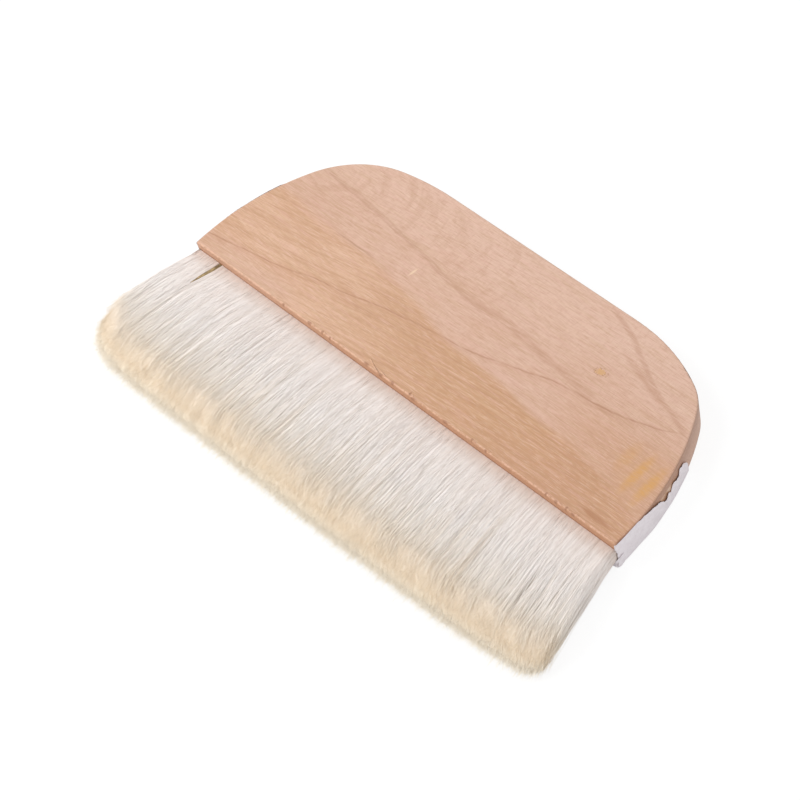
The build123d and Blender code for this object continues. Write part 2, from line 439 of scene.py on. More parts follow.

    # The worn edge of the mouth: browner, a painted highlight along its arris, chips at the front darkened
    # with painted shade, and painted shade darkest beside the slot
    over(both(fall(straight_y, 0.05, 0.3), fade(x, -80, 10, 0.45, 0.85)), 204, 152, 116)
    rough_edge = grain((0.9, 1.4, 1.4), roughness=0.7, shift=(3.0, 0, 0))
    # A painted highlight along the front arris of the mouth, broken up in places by the rough noise.
    arris_highlight = both(between(straight_y, 0.15, 0.5, 0.2), fall(rough_edge, 0.4, 0.6, 0.8))
    over(arris_highlight, 238, 192, 164)
    # Chips in the front edge, each darkened with painted shade for the broken-away wood.
    front_edge = rise(z, front_z - 1.6, front_z - 0.5, 0.6)
    for chip_x, chip_y, half_x, half_y in (
        (-49.3, 0.2, 0.8, 0.5), (-37.6, 0.3, 1.3, 0.6), (-31.8, 0.4, 0.7, 0.8), (-28.4, 0.2, 0.6, 0.6),
        (-12.3, 0.4, 1.6, 0.6), (-6.0, 0.2, 1.2, 0.5), (-0.9, 0.3, 0.9, 0.7), (6.2, 0.9, 0.45, 1.0),
        (7.9, 0.0, 1.2, 0.4), (21.6, 0.1, 1.4, 0.5), (32.6, 0.4, 0.6, 0.8), (38.4, 0.2, 0.7, 0.5),
        (62.8, 0.3, 0.5, 0.8), (66.8, 0.2, 0.9, 0.5), (70.8, 0.4, 0.6, 0.9), (73.6, 0.1, 1.0, 0.4),
    ):
        chip = add(oval(x, straight_y, chip_x, chip_y, half_x, half_y), both(rough_edge, 0.9))
        over(both(fall(chip, 0.85, 1.4), front_edge), 152, 98, 68)
    # Painted shade on the mouth's face beside the slot, where the hair goes into the wood.
    from_middle = finish.math("ABSOLUTE", less(z, front_z / 2))
    over(both(fall(straight_y, 0.3, 0.8), fall(from_middle, 2.7, 3.6, 0.85)), 160, 104, 74)
    finish.colour(colour)
    finish.bump(pores, 0.35, 0.12)
    return finish.material


def paper_finish():
    """Thin white paper tape, a little lavender, with faint fibres and creases."""
    finish = Finish("end_tape", roughness=0.7)
    cloud = finish.grain((0.5, 0.5, 0.5), roughness=0.5)
    colour = finish.mix(finish.rise(cloud, 0.35, 0.65), tone(238, 230, 234), tone(244, 237, 241))
    fibres = finish.grain((0.7, 3.5, 1.2), 4, 0.7, turn=(0.5, 0, 0))
    finish.colour(finish.mix(finish.rise(fibres, 0.5, 0.68, 0.5), colour, tone(226, 216, 220)))
    finish.bump(finish.add(fibres, cloud), 0.5, 0.1)
    return finish.material


def olive_hair_finish():
    """Dark olive-brown hair, ochre in places."""
    finish = Finish("olive_hair", roughness=0.6)
    stops = [(0.36, 136, 118, 86), (0.5, 172, 148, 108), (0.64, 214, 186, 136)]
    finish.colour(finish.ramp(finish.grain((1.6, 0.5, 1.6)), stops))
    return finish.material


def resin_finish():
    """Amber resin, clouded by wood dust."""
    finish = Finish("root_resin", roughness=0.3)
    cloud = finish.noise(finish.place(), 0.4, 3)
    finish.colour(finish.mix(finish.rise(cloud, 0.35, 0.65), tone(196, 154, 124), tone(208, 170, 140)))
    finish.bump(cloud, 0.3, 0.2)
    return finish.material


# ---- the row of hair ----


def lean_at(root_x):
    """Sideways drift of a hair for each millimetre past the mouth: a cubic in the place along the mouth. The
    row fans out at both ends, more at the right."""
    return np.polyval([0.03, 0.01, 0.145, 0.01], root_x / half_width)


def fan_x(root_x, past):
    """X of the hair that leaves the mouth at root_x, past millimetres from the mouth. Beside the open parting
    the hair stands off to both sides; the parting closes by 17 mm from the mouth."""
    out = np.maximum(past, 0)
    half_gap = parting_half_gap * (1 - smoothstep(out, 4, 17))
    drift = 0.4 * smoothstep(out, 0, 13)
    left = smoothstep(root_x, parting_x - parting_reach, parting_x) * (drift - half_gap)
    right = (1 - smoothstep(root_x, parting_x, parting_x + parting_reach)) * (drift + half_gap)
    return root_x + out * lean_at(root_x) + np.where(root_x < parting_x, left, right)


def reach_at(root_x):
    """How far past the mouth the longest hair stands. It falls off towards both ends as a sum of
    exponentials: a large soft corner at the left, and a long slope with a small corner at the right."""
    from_left = np.clip(root_x + row_half_width, 0, None)
    from_right = np.clip(row_half_width - root_x, 0, None)
    right = 4.2 * np.exp(-from_right / 28) + 3.5 * np.exp(-from_right / 2)
    return reach_middle - 9.0 * np.exp(-from_left / 5.5) - right


def cut_back(height):
    """Share of the bevel's length by which the hair at this height of the row stops short of the longest: a
    straight slope from the bevel's foot to the front, and a small square one from it to the back."""
    slope = np.clip((height - bevel_foot) / (1 - bevel_foot), 0, None)
    return slope + 0.16 * np.clip(1 - height / bevel_foot, 0, 1) ** 2


def swell_at(past):
    """The row's swelling, from 0 in the slot to 1 at the belly: 1 - (1 - s)^2, with s the share of the way."""
    return 1 - (1 - np.clip(past / belly_length, 0, 1)) ** 2


def half_thickness(root_x, past):
    """Half the row's thickness: as the slot at the mouth, then swelling to the belly, drawn in a little again
    towards the tips, and rounded off over the last millimetres at both ends of the row."""
    half = slot_half + (belly_half - slot_half) * swell_at(past) - 0.9 * smoothstep(past, 20, 46)
    inward = np.clip((row_half_width - np.abs(root_x)) / end_round, 0, 1)
    return half * (1 - 0.3 * (1 - np.sqrt(1 - (1 - inward) ** 2)))


def row_middle_z(past):
    """Height of the row's middle, from the slot's middle at the mouth to the belly's."""
    return front_z / 2 + ((belly_top_z + belly_low_z - front_z) / 2) * swell_at(past)


def make_locks(narrow, wide, depth, sway):
    """Locks of hair side by side along the mouth, from narrow to wide across. Each edge between two locks is
    a groove with its own depth, up to depth, and its own distance from the mouth at which it opens. sway is
    how much a lock drifts sideways for each millimetre."""
    widths = rng.uniform(narrow, wide, int(2 * (half_width + wide) / narrow))
    edge = -row_half_width - wide + np.cumsum(widths)
    edge = edge[: np.searchsorted(edge, row_half_width + wide) + 1]
    return {
        "edge": edge,
        "depth": depth * rng.beta(1.3, 1.6, len(edge)),
        "sway": sway,
        "opens": rng.uniform(4, 24, len(edge)),
        "lean": rng.normal(0, 1, len(edge)),
        "lift": rng.normal(0, 1, len(edge)),
        "length": rng.normal(0, 1, len(edge)),
        "tone": rng.normal(0, 1, len(edge)),
    }


big_locks = make_locks(2.2, 5.0, depth=0.36, sway=0.005)
small_locks = make_locks(0.8, 1.7, depth=0.2, sway=0.003)
fine_locks = make_locks(0.28, 0.6, depth=0.08, sway=0.001)


def in_lock(locks, root_x):
    """For each root: its lock's number, its groove's number, the lock's middle, and how near the groove it
    is, from 0 in the lock's middle to 1 in the groove."""
    edge = locks["edge"]
    number = np.clip(np.searchsorted(edge, root_x), 1, len(edge) - 1)
    middle = (edge[number - 1] + edge[number]) / 2
    groove = np.where(root_x < middle, number - 1, number)
    near = np.abs(root_x - middle) / ((edge[number] - edge[number - 1]) / 2)
    return number, groove, middle, near


def row_shape(root_x, past):
    """X of the hair and how deep it lies below the row's smooth surface, for roots and distances past the
    mouth. A lock pulls its hair to its middle, sinks it at its edges by the groove's depth times near^3, more
    at the right, and lies a little higher or lower and leans a little. A deep parting sinks the hair by a
    bell curve and parts it. All grooves fade out over the last 20 mm, so the cut face is nearly even."""
    x = fan_x(root_x, past)
    reach = reach_at(root_x)
    fading = 1 - 0.95 * smoothstep(past, reach - 20, reach - 8)
    spread = 1 - smoothstep(past, reach - 18, reach - 8)
    deeper = 1 + 0.8 * smoothstep(root_x, 20, 85)
    sink = np.zeros(np.broadcast(root_x, past).shape)
    for locks, pull in ((big_locks, 0.18), (small_locks, 0.2), (fine_locks, 0.16)):
        number, groove, middle, near = in_lock(locks, root_x)
        depth, deepest, opens = locks["depth"][groove], locks["depth"].max(), locks["opens"][groove]
        opening = smoothstep(past, opens, opens + groove_run)
        opened = opening * fading
        x = x - (root_x - middle) * pull * (depth / deepest) * opening * spread
        x = x + locks["sway"] * locks["lean"][number] * np.maximum(past - 4, 0) * (1 - near**2)
        sink = sink + deeper * depth * near**3 * opened
        sink = sink - 0.16 * deepest * locks["lift"][number] * opened * (1 - near**2)
    for place, opens, depth in deep_partings:
        valley = np.exp(-(((root_x - place) / 0.9) ** 2))
        opening = smoothstep(past, opens, opens + groove_run)
        sink = sink + depth * valley * opening * fading
        x = x + 0.35 * np.sign(root_x - place) * valley * opening * fading
    return x, sink


def row_point(root_x, past, height, under):
    """Points of the row, for shares of its thickness from 0 at the back to 1 at the front, under millimetres
    below the surface."""
    x, sink = row_shape(root_x, past)
    half = np.maximum(half_thickness(root_x, past) - sink - under, 0.35)
    z = row_middle_z(past) + (2 * height - 1) * half
    return points_at(x, mouth_y - past, z)


def ring_walls(index):
    """Faces between one ring of corners and the next: the last two axes of index are ring and place in it."""
    here, there = index[..., :-1, :], index[..., 1:, :]
    return np.stack([here, there, np.roll(there, -1, -1), np.roll(here, -1, -1)], -1).reshape(-1, 4)


def hair_part(points, quads, quad_uv, triangles, triangle_uv, smooth):
    """A part of a mesh: its vertices, its faces of both kinds, and a map row for each corner of each face."""
    return {
        "vertices": points.reshape(-1, 3),
        "quads": quads.reshape(-1, 4),
        "triangles": triangles,
        "uv": {"quads": quad_uv.reshape(-1, 2), "triangles": triangle_uv.reshape(-1, 2)},
        "smooth": smooth,
    }


def strand_tubes(paths, outward, width, tip, tones, along):
    """Strands round their centre lines. A ring has three corners, centre + a side + b out, that make a low
    ridge with its flat side to the bundle; each strand is rolled a little, and narrows from width to tip as
    the square of the way. On the map a strand lies in its own tone's column, from root to tip."""
    strands, rings = paths.shape[:2]
    ahead = unit(np.gradient(paths, axis=1))
    side = unit(np.cross(ahead, np.broadcast_to(outward, ahead.shape)))
    out = np.cross(side, ahead)
    roll = rng.normal(0, 0.35, (strands, 1, 1))
    side, out = side * np.cos(roll) + out * np.sin(roll), out * np.cos(roll) - side * np.sin(roll)
    share = np.linspace(0, 1, rings)
    wide = (width + (tip - width) * share**2)[None, :] * rng.uniform(0.75, 1.25, (strands, 1))
    sideways, outwards = (
        np.array(shares)[None, None, :, None] * wide[..., None, None]
        for shares in ([0.5, 0.0, -0.5], [-0.07, 0.14, -0.07])
    )
    corners = paths[:, :, None, :] + sideways * side[:, :, None, :] + outwards * out[:, :, None, :]
    index = np.arange(strands * rings * 3).reshape(strands, rings, 3)
    here, there = index[:, :-1, :], index[:, 1:, :]
    walls = np.stack([here, np.roll(here, -1, axis=2), np.roll(there, -1, axis=2), there], axis=-1)
    ends = np.concatenate([index[:, 0, ::-1], index[:, -1, :]])
    column = np.floor(np.clip(tones, 0, 0.999) * map_columns)
    left = (column[:, None, None] + 0.1 + 0.8 * np.arange(3) / 3) / map_columns + 0 * along[:, :-1, None]
    right = left + 0.8 / 3 / map_columns
    low, high = along[:, :-1, None] + 0 * left, along[:, 1:, None] + 0 * left
    wall_corners = ((left, low), (right, low), (right, high), (left, high))
    end_u = np.tile((column[:, None] + np.array([0.1, 0.9, 0.5])) / map_columns, (2, 1))
    end_v = np.concatenate([along[:, :1], along[:, -1:] - 0.01]) + np.array([0.0, 0.0, 0.01])
    wall_uv = np.stack([np.stack(pair, -1) for pair in wall_corners], -2)
    return hair_part(corners, walls, wall_uv, ends, np.stack([end_u, end_v], -1), smooth=False)


def bundle_core(left, right):
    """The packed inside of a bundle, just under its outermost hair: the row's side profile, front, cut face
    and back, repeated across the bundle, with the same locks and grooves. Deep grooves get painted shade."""
    across, front_steps, cut_steps, back_steps = 64, 36, 18, 24
    root_x = np.linspace(left + 0.02, right - 0.02, across)[:, None]
    reach = reach_at(root_x)
    face = np.linspace(1, 0, cut_steps)
    cut = reach - bevel_length * cut_back(face) - 0.8 - 0.6 * (1 - face)
    front = -root_depth + (reach - bevel_length - 1.0 + root_depth) * np.linspace(0, 1, front_steps)
    back = -root_depth + (cut[:, -1:] - 0.8 + root_depth) * np.linspace(1, 0, back_steps)
    past = np.concatenate([front, cut, back], axis=1)
    height = np.concatenate([np.ones(front_steps), face, np.zeros(back_steps)])[None, :]
    under = 0.1 * smoothstep(past, -1, 6) + 0.06
    points = row_point(root_x, past, height, under)
    sink = row_shape(root_x, past)[1]
    around = past.shape[1]
    index = np.arange(across * around).reshape(across, around)
    pair = np.arange(around // 2 - 1)
    strip = np.stack([pair, pair + 1, around - 2 - pair, around - 1 - pair], -1)
    quads = np.concatenate([ring_walls(index), index[0][strip], index[-1][strip[:, ::-1]]])
    # Painted shade: the core's tone falls where the grooves sink it.
    u = np.clip(0.88 - 0.45 * sink, 0.08, 0.95) + 0.004 * np.arange(across)[:, None] / across
    v = np.clip(past / reach, 0, 1) + 0.0005 * height
    uv = np.stack([u, v], -1).reshape(-1, 2)
    return hair_part(points, quads, uv[quads], np.zeros((0, 3), int), np.zeros((0, 2)), smooth=True)


def hair_piece(name, parts, material):
    """One mesh of several parts, with each part's corner numbers moved past the vertices before it."""
    offsets = np.cumsum([0] + [len(part["vertices"]) for part in parts[:-1]])
    vertices = np.concatenate([part["vertices"] for part in parts])
    kinds = ("quads", "triangles")
    faces = [np.concatenate([part[kind] + offset for part, offset in zip(parts, offsets)]) for kind in kinds]
    uv = np.concatenate([part["uv"][kind] for kind in kinds for part in parts])
    smooth = np.concatenate([np.full(len(part[kind]), part["smooth"]) for kind in kinds for part in parts])
    return mesh_piece(name, vertices, faces, material, uv, smooth)


def hairs(root_x, height, first, last, under, tones, loose, rings, outward, width, tip):
    """Strands from first to last past the mouth, each at its own height of the row and depth under its
    surface. One that passes the bevel's start bends down onto the bevel. Loose ones wave as a sine, and stray
    as the square of the way. The rings stand closer together towards the tips."""
    count = len(root_x)
    height, first, under = (np.broadcast_to(value, count)[:, None] for value in (height, first, under))
    root_x, last, loose = root_x[:, None], last[:, None], loose[:, None]
    reach = reach_at(root_x)
    share = 1 - (1 - np.linspace(0, 1, rings)[None, :]) ** 1.3
    past = first + (last - first) * share
    on_bevel = bevel_foot + (1 - bevel_foot) * (reach - past) / bevel_length
    paths = row_point(root_x, past, np.minimum(height, np.maximum(on_bevel, 0)), under)
    phase = rng.uniform(0, 2 * math.pi, (count, 1))
    turn = 2 * math.pi * past / rng.uniform(14, 30, (count, 1)) + phase
    far = np.clip(past / 40, 0, 1)
    stray = loose * (last - first) * share**2
    paths[..., 0] += 0.09 * far * loose * np.sin(turn) + stray * rng.normal(0, 0.014, (count, 1))
    paths[..., 2] += 0.05 * far * loose * np.cos(turn) + stray * rng.normal(0, 0.008, (count, 1))
    paths[..., 2] = np.clip(paths[..., 2], 0.1, belly_top_z + 1.0)
    return strand_tubes(paths, outward, width, tip, tones, np.clip(past / reach, 0, 1))


def lock_tone_and_shade(root_x):
    """Tone of the hair at each root: its two locks' own tones, and painted shade where it lies in a groove."""
    number = in_lock(small_locks, root_x)[0]
    big_number = in_lock(big_locks, root_x)[0]
    sink = row_shape(root_x, np.full_like(root_x, 24.0))[1]
    own = 0.08 * small_locks["tone"][number] + 0.1 * big_locks["tone"][big_number]
    # Painted shade: the deeper the groove sinks the hair, the lower its tone.
    return 0.9 + own - 0.45 * sink


def front_hairs(left, right, count):
    """Long hair over the front of the row. Each lock ends in its own point, just past the bevel's start."""
    root_x = rng.uniform(left, right, count)
    number, _, _, near = in_lock(big_locks, root_x)
    small, _, _, small_near = in_lock(small_locks, root_x)
    last = reach_at(root_x) - bevel_length + 0.9 + 1.0 * big_locks["length"][number]
    last = last + 0.7 * small_locks["length"][small] - 1.6 * near**2 - 0.8 * small_near**2
    last = last + rng.normal(0, 1.5, count)
    under = np.minimum(rng.exponential(0.07, count), 0.25)
    tones = lock_tone_and_shade(root_x) + rng.normal(0, 0.09, count)
    loose = rng.uniform(0.5, 2.2, count)
    look = {"rings": 10, "outward": to_front, "width": 0.17, "tip": 0.07}
    return hairs(root_x, 1.0, -root_depth, last, under, tones, loose, **look)


def crossing_hairs(left, right, count):
    """Single loose hairs on top of the front, each with a lean of its own, so that they cross the locks."""
    root_x = rng.uniform(left, right, count)
    first = rng.uniform(-1, 26, count)
    last = np.minimum(first + rng.uniform(9, 20, count), reach_at(root_x) - bevel_length + 1)
    first = np.minimum(first, last - 5)
    tones = 0.95 + rng.normal(0, 0.06, count)
    under = rng.uniform(-0.12, 0.05, count)
    loose = rng.uniform(4, 9, count)
    look = {"rings": 6, "outward": to_front, "width": 0.13, "tip": 0.04}
    return hairs(root_x, 1.0, first, last, under, tones, loose, **look)


def back_hairs(left, right, count):
    """Long hair over the back of the row, out to the tips."""
    root_x = rng.uniform(left, right, count)
    last = reach_at(root_x) - 1.2 + rng.normal(0, 0.5, count)
    under = np.minimum(rng.exponential(0.16, count), 0.5)
    tones = lock_tone_and_shade(root_x) + rng.normal(0, 0.09, count)
    loose = rng.uniform(0.3, 1.2, count)
    look = {"rings": 6, "outward": to_back, "width": 0.2, "tip": 0.06}
    return hairs(root_x, 0.0, -root_depth, last, under, tones, loose, **look)


def cut_hairs(left, right, count):
    """The ends of the hair inside the row, which fill the bevelled face where the row was trimmed."""
    root_x = rng.uniform(left, right, count)
    height = rng.uniform(0, 1.03, count) ** 0.9
    last = reach_at(root_x) - bevel_length * cut_back(height) + rng.normal(-0.25, 0.5, count)
    last = last + np.where(height < 0.4, rng.exponential(0.7, count), 0)
    first = last - rng.uniform(3, 5, count)
    # Hair low in the row gets a whiter tone: painted light against the shade where the row turns under.
    tones = 0.8 + 0.15 * (height < 0.35) + rng.normal(0, 0.11, count)
    loose = rng.uniform(4, 16, count)
    under = rng.uniform(-0.1, 0.3, count)
    look = {"rings": 2, "outward": (0, -0.7, 0.7), "width": 0.12, "tip": 0.025}
    return hairs(root_x, height, first, last, under, tones, loose, **look)


def end_hairs(edge_x, inward, count):
    """Long hair down the end of the row, at every height of it; inward is the way into the row, 1 or -1."""
    root_x = edge_x + inward * np.minimum(rng.exponential(0.3, count), 1.2)
    height = rng.uniform(0, 1, count)
    last = reach_at(root_x) - bevel_length * cut_back(height) + rng.normal(0, 0.6, count)
    tones = 0.88 + rng.normal(0, 0.1, count)
    loose = rng.uniform(0.4, 2.2, count)
    look = {"rings": 8, "outward": (-inward, 0.0, 0.0), "width": 0.17, "tip": 0.05}
    return hairs(root_x, height, -root_depth, last, 0.0, tones, loose, **look)


def hair_bundle(number, material):
    """One bundle: its packed core, and so many hairs for each millimetre of its width on its front, back and
    cut face. The first and the last bundle also have hair down the row's end."""
    left, right = bundle_edges[number : number + 2]
    width = right - left
    parts = [
        bundle_core(left, right),
        front_hairs(left, right, int(46 * width)),
        crossing_hairs(left, right, int(13 * width)),
        back_hairs(left, right, int(24 * width)),
        cut_hairs(left, right, int(480 * width)),
    ]
    if number == 0:
        parts.append(end_hairs(left, 1.0, end_hair_count))
    if number == len(bundle_names) - 1:
        parts.append(end_hairs(right, -1.0, end_hair_count))
    return hair_piece(f"goat_hair_{number + 1:02d}", parts, material)


goat_hair = hair_finish()
for number, node in enumerate(bundle_names):
    tuft = hair_bundle(number, goat_hair)
    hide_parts(node)
    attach(tuft, "root")


def olive_tuft(material):
    """A flat twist of dark olive-brown hair down in the open parting: strands that wind about a line from the
    mouth, at distances and angles drawn at random, and close in towards their tips."""
    count = 130
    share = np.linspace(0, 1, 9)[None, :]
    last = rng.uniform(7, 15, (count, 1))
    past = -root_depth + (last + root_depth) * share
    angle = rng.uniform(0, 2 * math.pi, (count, 1)) + 0.3 * past
    spread = rng.uniform(0.1, 1.1, (count, 1)) * (1 - 0.7 * smoothstep(past, 2, 13))
    half = half_thickness(np.full_like(past, parting_x), past)
    x = parting_x + 0.1 - 0.13 * np.maximum(past, 0) + spread * np.cos(angle)
    z = row_middle_z(past) + half - 0.3 + 0.3 * spread * np.sin(angle)
    paths = points_at(x, mouth_y - past, z)
    along = np.clip(past / reach_middle, 0, 1)
    tones = rng.uniform(0, 0.9, count)
    strands = strand_tubes(paths, to_front, width=0.2, tip=0.07, tones=tones, along=along)
    return hair_piece("olive_tuft", [strands], material)


tuft = olive_tuft(olive_hair_finish())
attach(tuft, "root")


# ---- CAD nodes ----


def finish_node(name, material):
    """Gives a CAD node its finish."""
    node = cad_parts[name]
    node.data.materials.clear()
    node.data.materials.append(material)


wood = wood_finish()
finish_node("handle_board", wood)
finish_node("root_resin", resin_finish())


# ---- paper tapes ----


def side_outline():
    """The right side of the handle: places on it from the mouth upwards, and how far up it each lies. They
    are the board's corners at the level where the rounding of its front edge begins."""
    rounding, least_x, most_y = 0.6, 70, 36
    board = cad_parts["handle_board"].data
    corners = np.empty(len(board.vertices) * 3)
    board.vertices.foreach_get("co", corners)
    corners = corners.reshape(-1, 3) / MM
    at_rounding = np.abs(corners[:, 2] - front_z + rounding) < 0.03
    side = corners[(corners[:, 0] > least_x) & at_rounding & (corners[:, 1] < most_y)]
    outline = np.unique(np.round(side[:, :2], 3), axis=0)
    outline = outline[np.argsort(outline[:, 1])]
    steps = np.linalg.norm(np.diff(outline, axis=0), axis=1)
    return outline, np.concatenate([[0], np.cumsum(steps)])


side_places, side_run = side_outline()


def up_side(height):
    """X and Y of the right side at heights up it from the mouth."""
    return np.interp(height, side_run, side_places[:, 0]), np.interp(height, side_run, side_places[:, 1])


def off_side(height, outward):
    """X and Y at heights up the right side, outward millimetres off the wood, square to it."""
    step = 0.5
    x, y = up_side(height)
    next_x, next_y = up_side(height + step)
    last_x, last_y = up_side(height - step)
    ahead_x, ahead_y = next_x - last_x, next_y - last_y
    length = np.hypot(ahead_x, ahead_y)
    return x + outward * ahead_y / length, y - outward * ahead_x / length


def ripple(count, step, size):
    """A ragged line of count values: random heights every step values, joined smoothly, up to about size."""
    knots = rng.normal(0, size, count // step + 4)
    return np.interp(np.arange(count) / step, np.arange(len(knots)), knots)


def sheet_between(outer_grid, inner_grid):
    """A closed sheet from its two faces, grids of the same size: both faces, and a wall round their edges."""
    rows, columns = outer_grid.shape[:2]
    index = np.arange(2 * rows * columns).reshape(2, rows, columns)
    outer, inner = (
        np.stack([face[:-1, :-1], face[:-1, 1:], face[1:, 1:], face[1:, :-1]], -1).reshape(-1, 4)
        for face in index
    )
    top = index[0]
    rim = np.concatenate([top[0, :-1], top[:-1, -1], top[-1, :0:-1], top[:0:-1, 0]])
    under = rim + rows * columns
    walls = np.stack([rim, under, np.roll(under, -1), np.roll(rim, -1)], -1)
    quads = np.concatenate([outer, inner[:, ::-1], walls])
    return np.concatenate([outer_grid.reshape(-1, 3), inner_grid.reshape(-1, 3)]), quads


def paper_tape(name, side, torn, foot, rough, material):
    """A strip of paper over the slot's end. Its outer face is a grid of heights up the side by heights above
    the back face, between a lower edge and a torn front edge. It stands a little off the wood, with ripples
    of two sines, a lifted torn edge and a curl at its foot; the inner face is the same grid, a paper's
    thickness nearer the wood. side is 1 for the right and -1 for the left; rough is 1 for torn paper."""
    across, up = 56, 340
    lowest, tallest = 0.3, 38.6
    share = np.linspace(0, 1, up)[None, :]
    level = np.linspace(0, 1, across)[:, None]
    torn_up, torn_z = np.array(torn, float).T
    run = np.linspace(0, tallest, up)
    ragged = rough * (ripple(up, 3, 0.16) + ripple(up, 9, 0.2)) * smoothstep(run, 9, 15)
    edge = np.clip(np.interp(run, torn_up, torn_z) + ragged, 0.6, front_z - 0.1)[None, :]
    z = lowest + (edge - lowest) * level
    foot_z, foot_up = np.array(foot, float).T
    low = np.interp(z[:, :1], foot_z, foot_up) + ripple(across, 3, 0.1)[:, None]
    height = low + (tallest - low) * share
    ripples = 0.06 * np.sin(height * 0.5 + 0.6 * z) + 0.05 * np.sin(height * 0.37 - z * 1.1 + 1)
    lifted = 0.3 * smoothstep(level, 0.75, 1.0) * smoothstep(height, 12, 20)
    lifted = lifted * (0.6 + 0.4 * np.sin(height * 1.1))
    curl = 1.0 * np.exp(-(height - low) / 0.9) * np.exp(-(((z - 1.9) / 1.4) ** 2))
    flare = 0.2 * np.exp(-(height - low) / 1.6)
    loose = 0.22 + 0.1 * rough + ripples * (0.4 + 0.6 * rough) + rough * (lifted + curl + flare)
    thickness = 0.2 - 0.12 * smoothstep(level, 0.93, 1.0)
    grids = []
    for outward in (np.maximum(loose, 0.2), np.maximum(loose, 0.2) - thickness):
        x, y = off_side(height, outward)
        grids.append(points_at(side * x, y, z))
    vertices, quads = sheet_between(*grids)
    return mesh_piece(name, vertices, [quads[:, ::side]], material)


# A torn edge as heights up the side and above the back face, a foot as heights above the back and up the side
torn_right = [(0, 11.5), (10, 11.5), (15, 11.0), (18.5, 9.4), (21, 8.2), (23.5, 5.4), (25, 7.2), (26.7, 5.9),
              (28.7, 8.2), (32, 6.8), (32.7, 8.8), (35, 9), (37, 6.8), (39, 2.6)]
foot_right = [(0.3, 0.1), (1.8, 0.1), (3.7, 0.3), (6.5, 0.5), (8.2, 0.2), (10, -0.3), (11.5, -0.3)]
torn_left = [(0, 11.0), (34, 11.0), (36, 10.4), (37.5, 9.8), (39, 9.4)]
foot_left = [(0.3, 0.4), (11.0, 0.2)]
paper = paper_finish()
for name, side, torn, foot, rough in (
    ("end_tape_right", 1, torn_right, foot_right, 1.0),
    ("end_tape_left", -1, torn_left, foot_left, 0.2),
):
    tape = paper_tape(f"paper_{name}", side, torn, foot, rough, paper)
    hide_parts(name)
    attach(tape, "root")


def tape_flap(material):
    """The right tape's lower corner, folded round the back wall of the mouth and curled: a line of points
    seen from the front, smoothed by cutting its corners, carried up the wall to a ragged edge."""
    line = np.array([(90.5, 2.4), (90.8, 0.6), (90.5, -0.5), (89.2, -0.8), (87.8, -0.55), (86.9, -0.75),
                     (86.4, -1.5)])
    for _ in range(3):
        quarter, three = 0.75 * line[:-1] + 0.25 * line[1:], 0.25 * line[:-1] + 0.75 * line[1:]
        line = np.concatenate([line[:1], np.stack([quarter, three], 1).reshape(-1, 2), line[-1:]])
    ahead = unit(np.gradient(line, axis=0))
    lowest = 0.15
    level = np.linspace(0, 1, 14)[:, None]
    way = np.linspace(0, 1, len(line))[None, :]
    top = 4.6 + 0.25 * ripple(len(line), 4, 1.0)[None, :] - 0.9 * way**2
    z = lowest + (top - lowest) * level
    bulge = 0.25 * np.sin(math.pi * level) * way
    grids = []
    for outward in (bulge + 0.1, bulge - 0.05):
        x = line[None, :, 0] - outward * ahead[None, :, 1]
        y = mouth_y + line[None, :, 1] + outward * ahead[None, :, 0]
        grids.append(points_at(x, y, z))
    vertices, quads = sheet_between(*grids)
    return mesh_piece("tape_flap", vertices, [quads], material)


flap = tape_flap(paper)
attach(flap, "root")


# ---- splinters ----


def splinters(material):
    """Slivers that lift off the worn front edge of the mouth. Each is a thin blade with a triangular section,
    which rises as the square of the way along it and bends over the edge. A blade is given by its root's
    place along and above the mouth, its length, its angle in degrees and its lift."""
    blades = [
        (-49.3, 0.5, 1.6, -12, 0.25), (-37.4, 0.7, 2.4, -8, 0.3), (-34.5, 0.4, 1.8, 6, 0.25),
        (-31.8, 0.9, 2.0, -20, 0.3), (-28.6, 0.5, 1.5, 8, 0.25), (-12.6, 2.3, 5.6, -22, 0.4),
        (-10.4, 1.6, 4.4, -25, 0.45), (-7.6, 1.2, 3.6, -10, 0.35), (-4.2, 0.7, 2.6, -12, 0.3),
        (-1.4, 0.5, 2.0, 4, 0.25), (4.5, 0.8, 2.2, -14, 0.35), (7.0, 0.9, 2.4, -25, 0.35),
        (21.6, 0.5, 1.7, -10, 0.25), (32.6, 0.6, 1.8, -16, 0.3), (38.5, 0.5, 1.4, 6, 0.2),
        (53.0, 0.4, 1.6, -6, 0.2), (62.8, 0.6, 1.7, -14, 0.3), (66.8, 0.5, 1.8, -8, 0.3),
        (70.8, 0.7, 2.2, -18, 0.35), (74.0, 0.5, 1.4, 6, 0.25),
    ]
    x, y, length, angle, lift = (column[:, None] for column in np.array(blades, float).T)
    rings = 8
    share = np.linspace(0, 1, rings)[None, :]
    way = np.radians(angle)
    gone = length * share
    over = np.clip(-(y + gone * np.sin(way)), 0, None)
    middle = points_at(
        x + gone * np.cos(way) + 0.05 * np.sin(7 * share + x),
        mouth_y + y + gone * np.sin(way) + 0.06 * np.cos(5 * share + x),
        front_z + 1.5 * lift * share**2 + 0.02 - 0.6 * over,
    )
    half = 0.36 * np.sqrt(length / 3) * (1 - share**1.6) + 0.03
    across = points_at(-np.sin(way), np.cos(way), 0)
    corner_across = np.array([-1.0, 1.0, 0.15])[None, None, :, None]
    corner_up = np.array([-0.4, -0.4, 0.35])[None, None, :, None] * np.array([0, 0, 1.0])
    ring = half[..., None, None]
    corners = middle[:, :, None, :] + ring * corner_across * across[:, :, None, :] + ring * corner_up
    index = np.arange(len(blades) * rings * 3).reshape(-1, rings, 3)
    ends = np.concatenate([index[:, 0], index[:, -1, ::-1]])
    faces = [ring_walls(index), ends]
    return mesh_piece("mouth_splinters", corners.reshape(-1, 3), faces, material, smooth=False)


slivers = splinters(wood)
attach(slivers, "root")


# ---- studio ----


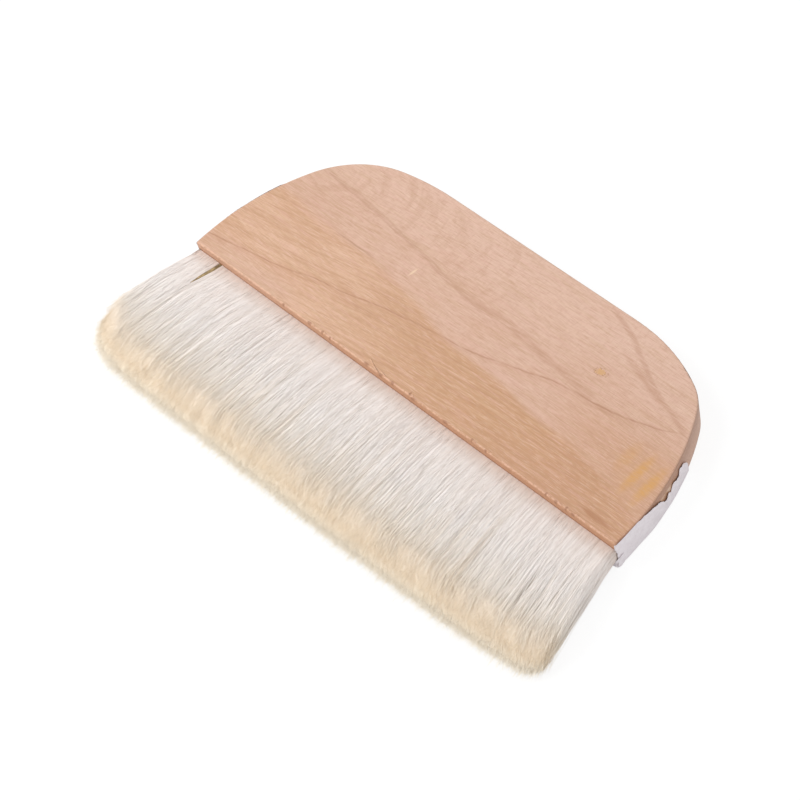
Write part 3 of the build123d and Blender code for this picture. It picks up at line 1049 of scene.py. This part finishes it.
def studio_floor():
    """A wide white floor. Lamps light it as plain white paint, and to the eye, in gloss and through glass it
    shows near white with the object's soft shadow on it."""
    half = 3000
    corners = np.array([[-half, -half, 0], [half, -half, 0], [half, half, 0], [-half, half, 0]], float)
    finish = Finish("studio_floor", roughness=0.9)
    finish.surface.inputs["Base Color"].default_value = tone(244, 244, 244)
    seen = finish.tree.nodes.new("ShaderNodeLightPath").outputs
    shown = finish.math("MAXIMUM", seen["Is Camera Ray"], seen["Is Glossy Ray"])
    shown = finish.math("MAXIMUM", shown, seen["Is Transmission Ray"])
    glow = finish.node("ShaderNodeEmission", {"Color": (1, 1, 1, 1), "Strength": 1.08})
    paint = finish.surface.outputs[0]
    bright = finish.node("ShaderNodeMixShader", {0: 0.2, 1: glow, 2: paint})
    chosen = finish.node("ShaderNodeMixShader", {0: shown, 1: paint, 2: bright})
    finish.tree.links.new(chosen, finish.tree.nodes["Material Output"].inputs["Surface"])
    floor = mesh_piece("studio_floor", corners, [np.array([[0, 1, 2, 3]])], finish.material, smooth=False)


def studio_world(strength):
    """Even white light from all round, shown as plain white."""
    world = bpy.data.worlds.new("studio")
    bpy.context.scene.world = world
    world.use_nodes = True
    tree = world.node_tree
    light = tree.nodes["Background"]
    backdrop = tree.nodes.new("ShaderNodeBackground")
    for background, level in ((light, strength), (backdrop, 1.0)):
        background.inputs["Color"].default_value = (1, 1, 1, 1)
        background.inputs["Strength"].default_value = level
    seen = tree.nodes.new("ShaderNodeLightPath").outputs
    mixed = tree.nodes.new("ShaderNodeMixShader")
    tree.links.new(seen["Is Camera Ray"], mixed.inputs[0])
    tree.links.new(light.outputs[0], mixed.inputs[1])
    tree.links.new(backdrop.outputs[0], mixed.inputs[2])
    tree.links.new(mixed.outputs[0], tree.nodes["World Output"].inputs["Surface"])


def soft_lamp(name, place, aim, size, power):
    """A square soft box at place, turned to aim, sizes in millimetres and power in watts."""
    lamp = bpy.data.lights.new(name, "AREA")
    lamp.size = size * MM
    lamp.energy = power
    box = bpy.data.objects.new(name, lamp)
    box.location = Vector(place) * MM
    box.rotation_euler = (Vector(aim) - Vector(place)).to_track_quat("-Z", "Y").to_euler()
    bpy.context.scene.collection.objects.link(box)


def camera():
    """Looks down at the brush from the front right, rolled so that the mouth runs down to the right."""
    place = Vector((409.05, -276.34, 669.03))
    aim = Vector((5.37, -11.41, 11.6))
    lens = bpy.data.cameras.new("camera")
    lens.lens = 121.7
    lens.sensor_width = 36
    lens.clip_start = 0.01
    view = bpy.data.objects.new("camera", lens)
    level = (aim - place).to_track_quat("-Z", "Y").to_matrix().to_4x4()
    roll = Matrix.Rotation(math.radians(-14.83), 4, "Z")
    view.matrix_world = Matrix.Translation(place * MM) @ level @ roll
    bpy.context.scene.collection.objects.link(view)
    bpy.context.scene.camera = view


studio_floor()
studio_world(strength=0.65)
soft_lamp("key_softbox", place=(-430, -330, 640), aim=(0, 0, 5), size=520, power=3.9)
soft_lamp("fill_softbox", place=(520, -200, 330), aim=(60, -10, 5), size=500, power=0.27)
camera()
bpy.context.scene.view_settings.view_transform = "Standard"
